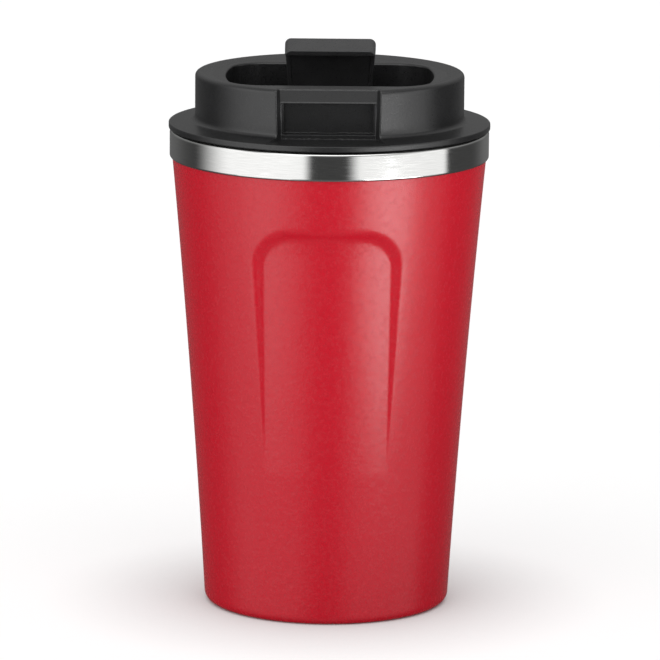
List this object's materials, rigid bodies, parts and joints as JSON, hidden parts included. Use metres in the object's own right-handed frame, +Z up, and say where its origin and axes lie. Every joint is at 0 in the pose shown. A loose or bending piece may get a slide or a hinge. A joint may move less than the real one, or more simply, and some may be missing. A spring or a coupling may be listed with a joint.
{
  "type": "insulated travel mug",
  "caption": "Tapered double-wall steel travel mug with a bare rim band, arched grip panels and a black screw-in lid whose raised flip lever stops a drink hole in a recess.",
  "frame": {"origin": "centre of the base, on the surface that the mug stands on", "axes": "+Z up along the cup's axis, -Y towards the drink hole and the lid's front notch, +X to the right seen from the front"},
  "size_m": [0.0854, 0.0854, 0.1503],
  "materials": {
    "powder_coat": "matte red powder coat with a fine grain",
    "rim_steel": "bare stainless, brushed around the rim",
    "liner_steel": "bare stainless, satin",
    "base_steel": "bare stainless, spun",
    "copper_foil": "bright copper foil",
    "getter_metal": "sintered grey",
    "sealing_metal": "dark solder bead",
    "black_plastic": "black polypropylene, finely textured",
    "collar_plastic": "black polypropylene, smooth",
    "lever_plastic": "black polypropylene, finely textured",
    "silicone": "dark grey silicone",
    "pin_steel": "drawn stainless wire"
  },
  "bodies": {
    "cup": {"outer_shell": "powder_coat", "rim_band": "rim_steel", "inner_liner": "liner_steel", "inner_base": "liner_steel", "radiation_foil": "copper_foil", "outer_base": "liner_steel", "base_cover": "base_steel", "getter_holder": "liner_steel", "getter_pellet": "getter_metal", "vacuum_plug": "sealing_metal"},
    "gasket_ring": {"lid_gasket": "silicone"},
    "lid": {"lid_shell": "black_plastic", "lid_collar": "collar_plastic", "tub_seal": "silicone", "hinge_pin": "pin_steel"},
    "lever": {"flip_lever": "lever_plastic", "stopper_carrier": "lever_plastic", "drink_stopper": "silicone"}
  },
  "joints": [
    {"name": "lid_lift", "type": "slide", "parent": "cup", "child": "gasket_ring", "axis": [0, 0, 1], "range_m": [0, 0.018]},
    {"name": "lid_turn", "type": "hinge", "parent": "gasket_ring", "child": "lid", "pos_m": [0, 0, 0.1281], "axis": [0, 0, 1], "range_deg": [0, 720]},
    {"name": "lever_hinge", "type": "hinge", "parent": "lid", "child": "lever", "pos_m": [0, -0.0085, 0.118], "axis": [1, 0, 0], "range_deg": [0, 76]}
  ],
  "couplings": [
    {"joint": "lid_lift", "follows": "lid_turn", "m_per_rad": 0.0014324}
  ]
}
